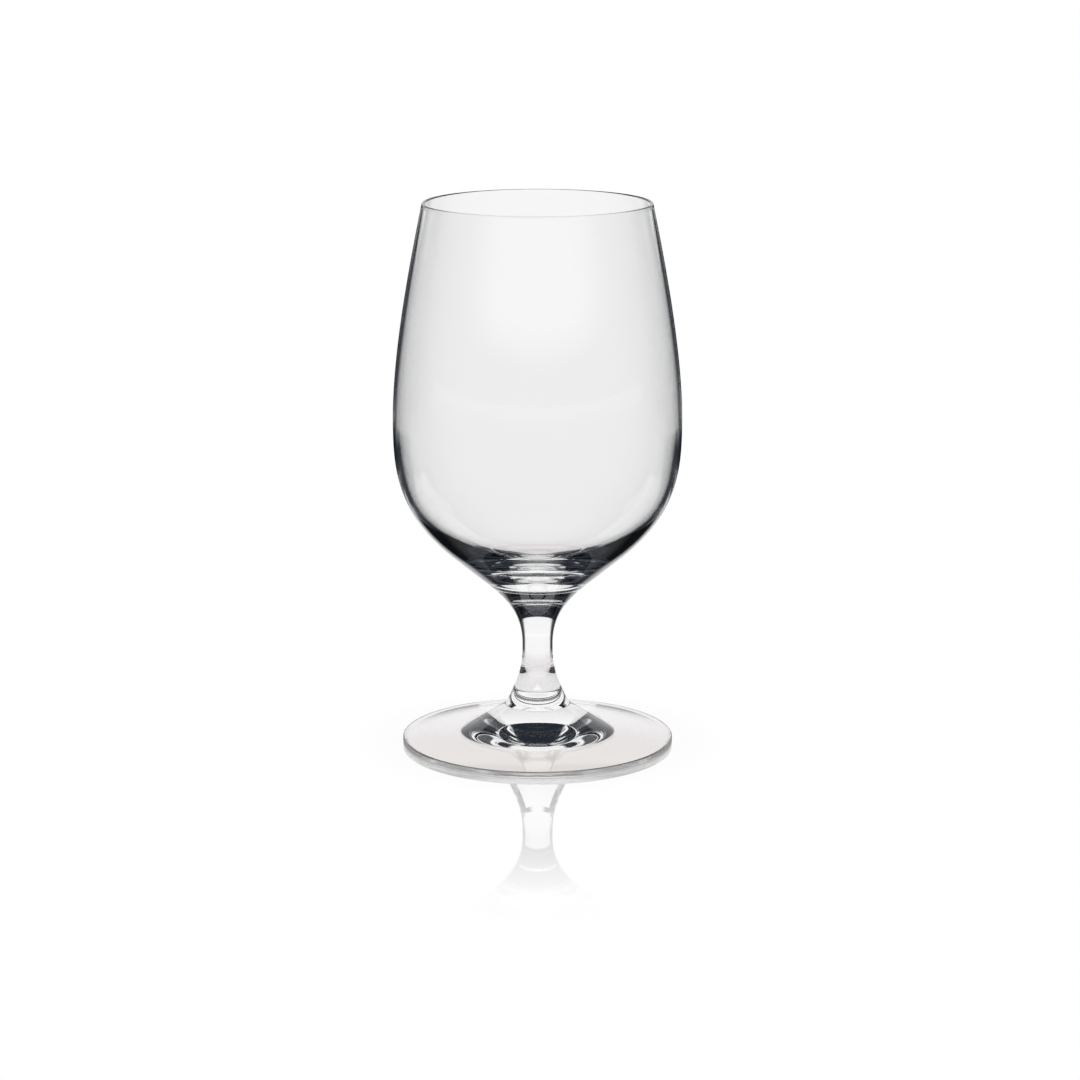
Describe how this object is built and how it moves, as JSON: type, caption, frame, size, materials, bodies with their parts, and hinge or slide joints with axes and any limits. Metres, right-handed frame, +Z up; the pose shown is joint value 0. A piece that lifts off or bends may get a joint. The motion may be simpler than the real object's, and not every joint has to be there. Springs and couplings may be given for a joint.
{
  "type": "stemmed water glass",
  "caption": "Stemmed water glass of clear glass: an egg-shaped bowl on a short waisted stem and a low cone-shaped foot.",
  "frame": {"origin": "centre of the foot's resting plane, on the glass's axis", "axes": "+Z up along the glass's axis, from the foot to the rim"},
  "size_m": [0.0815, 0.0814, 0.155],
  "materials": {
    "clear_glass": "clear colourless crystal glass, fire-polished"
  },
  "bodies": {
    "root": {"bowl": "clear_glass", "stem": "clear_glass", "foot": "clear_glass"}
  },
  "joints": []
}
